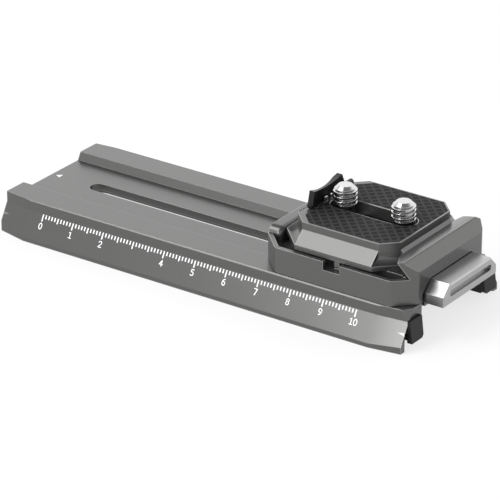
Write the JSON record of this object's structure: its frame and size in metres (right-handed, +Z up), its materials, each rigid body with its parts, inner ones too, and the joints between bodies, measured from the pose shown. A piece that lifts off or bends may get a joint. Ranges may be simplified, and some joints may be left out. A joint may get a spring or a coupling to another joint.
{
  "type": "tripod quick release plate",
  "caption": "Long grey dovetail plate with a millimetre scale and slot, and a button-released clamp at one end holding a square padded camera plate with camera screws and a flap.",
  "frame": {"origin": "middle of the foot plate's underside, on the plane it rests on", "axes": "+X along the foot plate toward the clamp's button, +Y toward the back rail, -Y toward the flank with the scale, +Z up"},
  "size_m": [0.134, 0.049, 0.0299],
  "materials": {
    "anodised_metal": "satin grey anodised",
    "black_plastic": "matt",
    "steel": "satin",
    "polished_metal": "polished",
    "spring_steel": "drawn wire",
    "black_metal": "satin black",
    "black_rubber": "textured",
    "bright_steel": "bright"
  },
  "bodies": {
    "base": {"base_plate": "anodised_metal", "stop_block_front": "black_plastic", "stop_block_back": "black_plastic", "stop_block_screws": "steel", "clamp_body": "anodised_metal", "bottom_cover": "anodised_metal", "cover_screws": "steel", "clamp_screws": "steel", "clamp_washers": "steel", "spring_pins": "steel", "return_spring_front": "spring_steel", "return_spring_back": "spring_steel"},
    "release": {"release_button": "polished_metal", "slide_frame": "steel", "left_claw": "steel", "claw_screws": "steel", "button_screws": "steel"},
    "camera_plate": {"top_plate": "anodised_metal", "rubber_pad": "black_rubber", "flap_pin": "steel", "flap_lugs": "bright_steel"},
    "flap": {"twist_flap": "black_metal"},
    "left_washer": {"screw_washer_left": "steel"},
    "left_screw": {"camera_screw_left": "bright_steel"},
    "right_washer": {"screw_washer_right": "steel"},
    "right_screw": {"camera_screw_right": "bright_steel"}
  },
  "joints": [
    {"name": "button_press", "type": "slide", "parent": "base", "child": "release", "axis": [1, 0, 0], "range_m": [-0.0018, 0], "stiffness_N_per_m": 900, "springref_m": 0.0022, "deforming": ["return_spring_front", "return_spring_back"]},
    {"name": "flap_fold", "type": "hinge", "parent": "camera_plate", "child": "flap", "pos_m": [0.02627, 0, 0.02534], "axis": [0, -1, 0], "range_deg": [0, 90]},
    {"name": "plate_removal", "type": "slide", "parent": "base", "child": "camera_plate", "axis": [0, -1, 0], "range_m": [0, 0.045]},
    {"name": "left_screw_slide", "type": "slide", "parent": "camera_plate", "child": "left_washer", "axis": [1, 0, 0], "range_m": [0, 0.003]},
    {"name": "left_screw_turn", "type": "hinge", "parent": "left_washer", "child": "left_screw", "pos_m": [0.03173, 0, 0.021], "axis": [0, 0, 1], "continuous": true},
    {"name": "right_screw_slide", "type": "slide", "parent": "camera_plate", "child": "right_washer", "axis": [1, 0, 0], "range_m": [-0.003, 0]},
    {"name": "right_screw_turn", "type": "hinge", "parent": "right_washer", "child": "right_screw", "pos_m": [0.04953, 0, 0.021], "axis": [0, 0, 1], "continuous": true}
  ]
}
